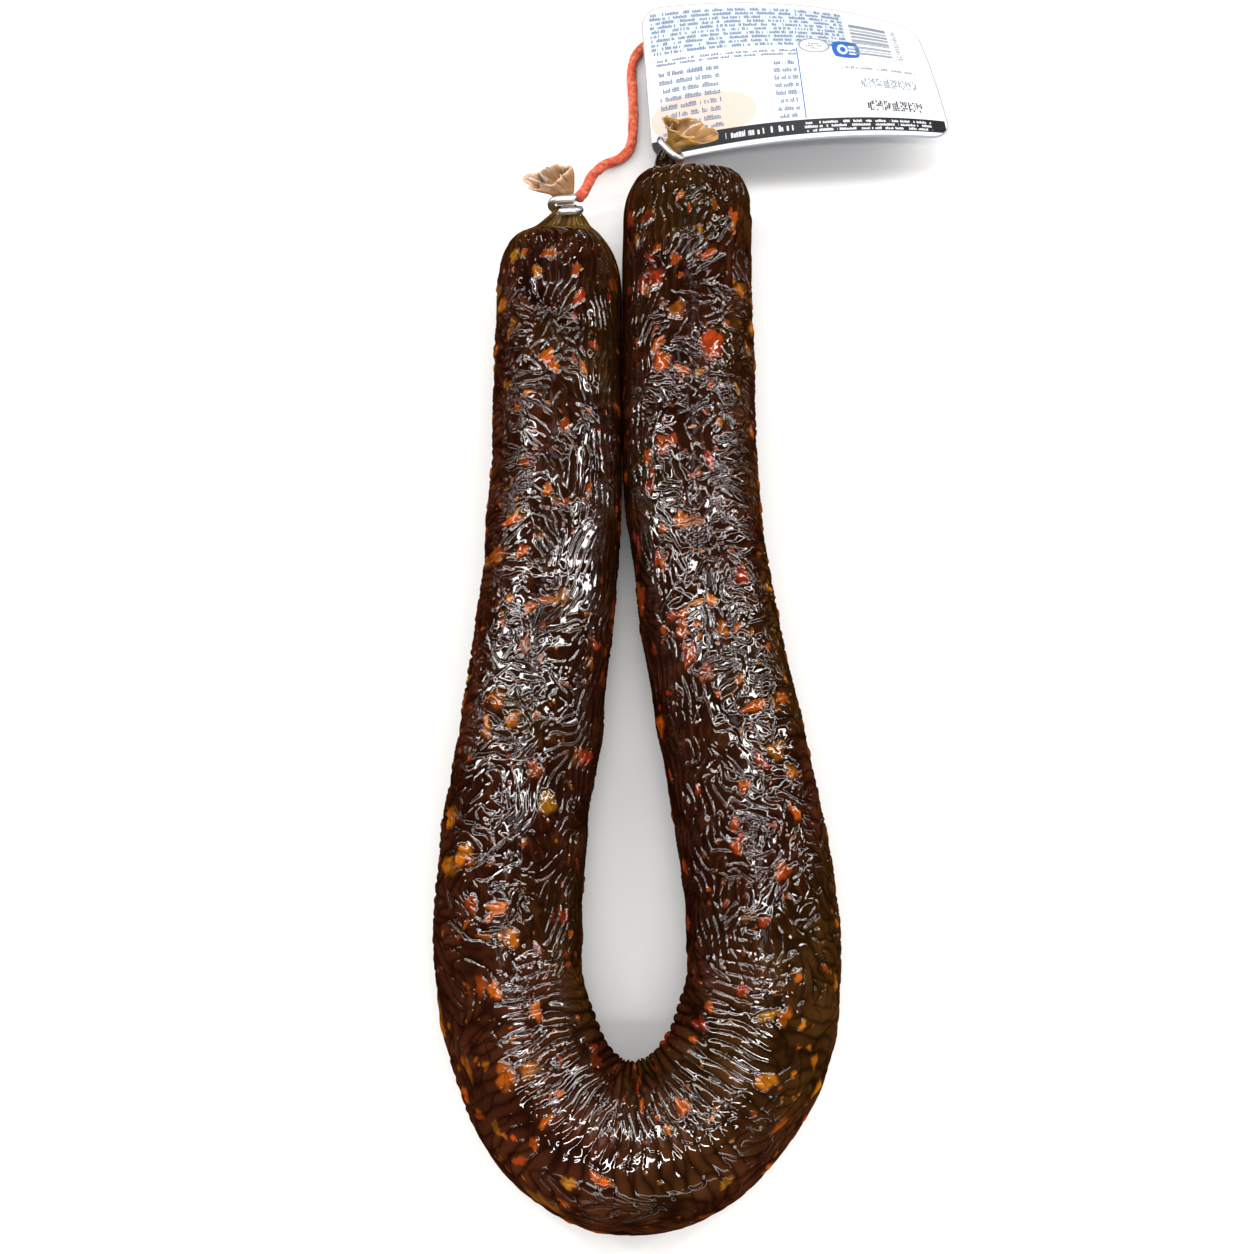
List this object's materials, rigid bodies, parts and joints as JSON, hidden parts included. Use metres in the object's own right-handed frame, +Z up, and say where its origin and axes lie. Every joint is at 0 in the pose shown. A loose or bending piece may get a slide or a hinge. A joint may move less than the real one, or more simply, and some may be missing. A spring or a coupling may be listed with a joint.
{
  "type": "blood sausage",
  "caption": "Horseshoe of dry-cured blood sausage in a glossy wrinkled dark casing, its gathered ends closed by wire clips, with a red hanging string and a card label.",
  "frame": {"origin": "middle of the base of the box round the sausage, its clips and its label, at the level it rests on", "axes": "+Z up; +Y along the legs from the bend towards the gathered ends and the label; +X to the side the label lies on"},
  "size_m": [0.1269, 0.31, 0.0324],
  "materials": {
    "casing": "dried natural casing over dark meat: very dark brown, glossy, finely wrinkled, with orange and amber flecks of fat and pepper and amber gathered ends",
    "clip_wire": "bright drawn aluminium wire",
    "twine": "soft two-ply twisted string, red-orange, matt and slightly fuzzy",
    "card": "thin coated white card with a soft sheen, a black band along its lower edge and fine grey-blue print"
  },
  "bodies": {
    "root": {"sausage": "casing", "clip_left": "clip_wire", "clip_right": "clip_wire", "string": "twine", "label": "card"}
  },
  "joints": []
}
